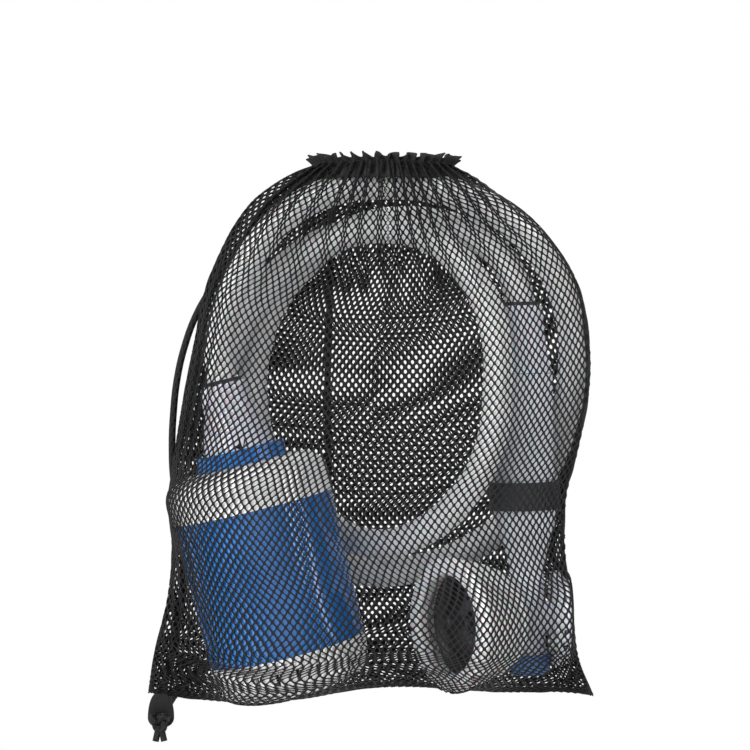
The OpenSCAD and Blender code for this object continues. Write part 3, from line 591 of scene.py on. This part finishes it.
for (height, grow, ruffle), ring in zip(hem_levels, levels):
    for corner in ring:
        turn = math.atan2(corner.co.y, corner.co.x)
        wave = math.sin(44 * turn + 1.6 * math.sin(5 * turn) + 60 * height)
        pucker = 1 + 0.25 * math.sin(7 * turn + 1) + 0.2 * math.sin(17 * turn)
        out = Vector((math.cos(turn) * hem_half.x, math.sin(turn) * hem_half.y, 0)) * grow
        lift = height + 0.0011 * max(0, height / 0.005) * math.sin(31 * turn + 2 * math.sin(3 * turn))
        corner.co = hem_middle + out + out.normalized() * wave * pucker * ruffle + Vector((0, 0, lift))
bmesh.ops.recalc_face_normals(hem, faces=hem.faces)
hem_piece = piece_from("hem_ruffle", hem, "kit", hem_knit)
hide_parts("bag_hem")
thick = hem_piece.modifiers.new("fold", "SOLIDIFY")
thick.thickness = 0.0007

# ---- Side and bottom seams ----
# The two nets are stitched together with a narrow woven binding that ends in the corners.
seam_points = np.vstack([
    through(left_outline, np.linspace(0.16, 1, 240)),
    through(bottom_outline, np.linspace(0.004, 0.996, 240)),
    through(right_outline, np.linspace(1, 0.16, 240)),
])
seam = bmesh.new()
seam_line = [seam.verts.new((x, 0, z)) for x, z in seam_points]
seam_edges = [seam.edges.new(pair) for pair in zip(seam_line, seam_line[1:])]
grown = bmesh.ops.extrude_edge_only(seam, edges=seam_edges)["geom"]
outer_line = [part for part in grown if isinstance(part, bmesh.types.BMVert)]
run = np.gradient(seam_points, axis=0)
run /= np.linalg.norm(run, axis=1)[:, None]
for index, (inner, outer) in enumerate(zip(seam_line, outer_line)):
    wave = 0.5 + 0.5 * math.sin(index / 5.5 + 2 * math.sin(index / 23))
    away = Vector((run[index, 1], 0, -run[index, 0]))
    inner.co = inner.co - away * 0.0022 + Vector((0, 0.0004 * math.sin(index / 3.1), 0))
    outer.co = outer.co + away * (0.0006 * wave - 0.0004) + Vector((0, 0.0006 * math.sin(index / 4.3), 0))
bmesh.ops.remove_doubles(seam, verts=seam.verts, dist=0.0001)
bmesh.ops.recalc_face_normals(seam, faces=seam.faces)
seam_piece = piece_from("seam_binding", seam, "kit", hem_knit)
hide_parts("bag_seam_tape")
thick = seam_piece.modifiers.new("fold", "SOLIDIFY")
thick.thickness = 0.0011
thick.offset = 0

# ---- Corner tab ----
# A short piece of doubled black webbing sewn into the left corner. Both cord ends pass
# through its eyelet and are knotted in front of it.
tab = bmesh.new()
rims = []
for radius in (0.0046, 0.0023):
    rims.append(bmesh.ops.create_circle(tab, cap_ends=False, segments=48, radius=radius)["verts"])
bmesh.ops.bridge_loops(tab, edges=tab.edges)
for rim in rims:
    for corner in rim:
        x, up = corner.co.x, corner.co.y
        side = math.copysign(cord_gap, x) if abs(x) > 1e-6 else 0
        up = up * 2.7 if rim is rims[0] and up > 0 else up
        corner.co = tab_at + Vector((x + side, 0, up))
bmesh.ops.subdivide_edges(tab, edges=tab.edges, cuts=1, use_grid_fill=True)
bmesh.ops.recalc_face_normals(tab, faces=tab.faces)
tab_piece = piece_from("corner_webbing", tab, "kit", hem_knit)
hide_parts("corner_tab")
thick = tab_piece.modifiers.new("doubled", "SOLIDIFY")
thick.thickness = 0.0019
thick.offset = 0
edge = tab_piece.modifiers.new("edge", "BEVEL")
edge.width = 0.0004
edge.segments = 2

# ---- Room ----
room = bpy.data.worlds.new("room")
bpy.context.scene.world = room
room.use_nodes = True
sky = room.node_tree
ground = sky.nodes["Background"]
path = sky.nodes.new("ShaderNodeLightPath")
either = wire(sky, "ShaderNodeMath", {0: path.outputs["Is Camera Ray"], 1: path.outputs["Is Glossy Ray"]}, operation="MAXIMUM")
either = wire(sky, "ShaderNodeMath", {0: either.outputs[0], 1: path.outputs["Is Transmission Ray"]}, operation="MAXIMUM")
level = wire(sky, "ShaderNodeMapRange", {"Value": either.outputs[0], "To Min": 0.75, "To Max": 1.0})
ground.inputs["Color"].default_value = (1, 1, 1, 1)
sky.links.new(level.outputs[0], ground.inputs["Strength"])

for name, place, size, power in (
    ("key", (-0.9, -1.1, 0.6), 0.9, 33), ("fill", (1.2, -0.7, 0.3), 0.8, 12), ("rim", (0.2, 1.0, 0.9), 0.8, 9),
):
    lamp = bpy.data.lights.new(name, "AREA")
    lamp.size = size
    lamp.energy = power
    light = bpy.data.objects.new(name, lamp)
    bpy.context.collection.objects.link(light)
    light.location = place
    light.rotation_euler = (Vector((0, 0, -0.13)) - Vector(place)).to_track_quat("-Z", "Y").to_euler()
bpy.context.scene.view_settings.view_transform = "Standard"

ground_plane = bmesh.new()
bmesh.ops.create_grid(ground_plane, x_segments=1, y_segments=1, size=1.0)
bmesh.ops.translate(ground_plane, verts=ground_plane.verts, vec=(0, 0, -0.5))
floor_mesh = bpy.data.meshes.new("floor")
ground_plane.to_mesh(floor_mesh)
ground_plane.free()
floor_mesh.materials.append(moulded("pale_floor", (0.8, 0.8, 0.8), 0.7, shade=0.01, grain=60, bump=0.0001, scratches=0))
floor = bpy.data.objects.new("floor", floor_mesh)
bpy.context.collection.objects.link(floor)
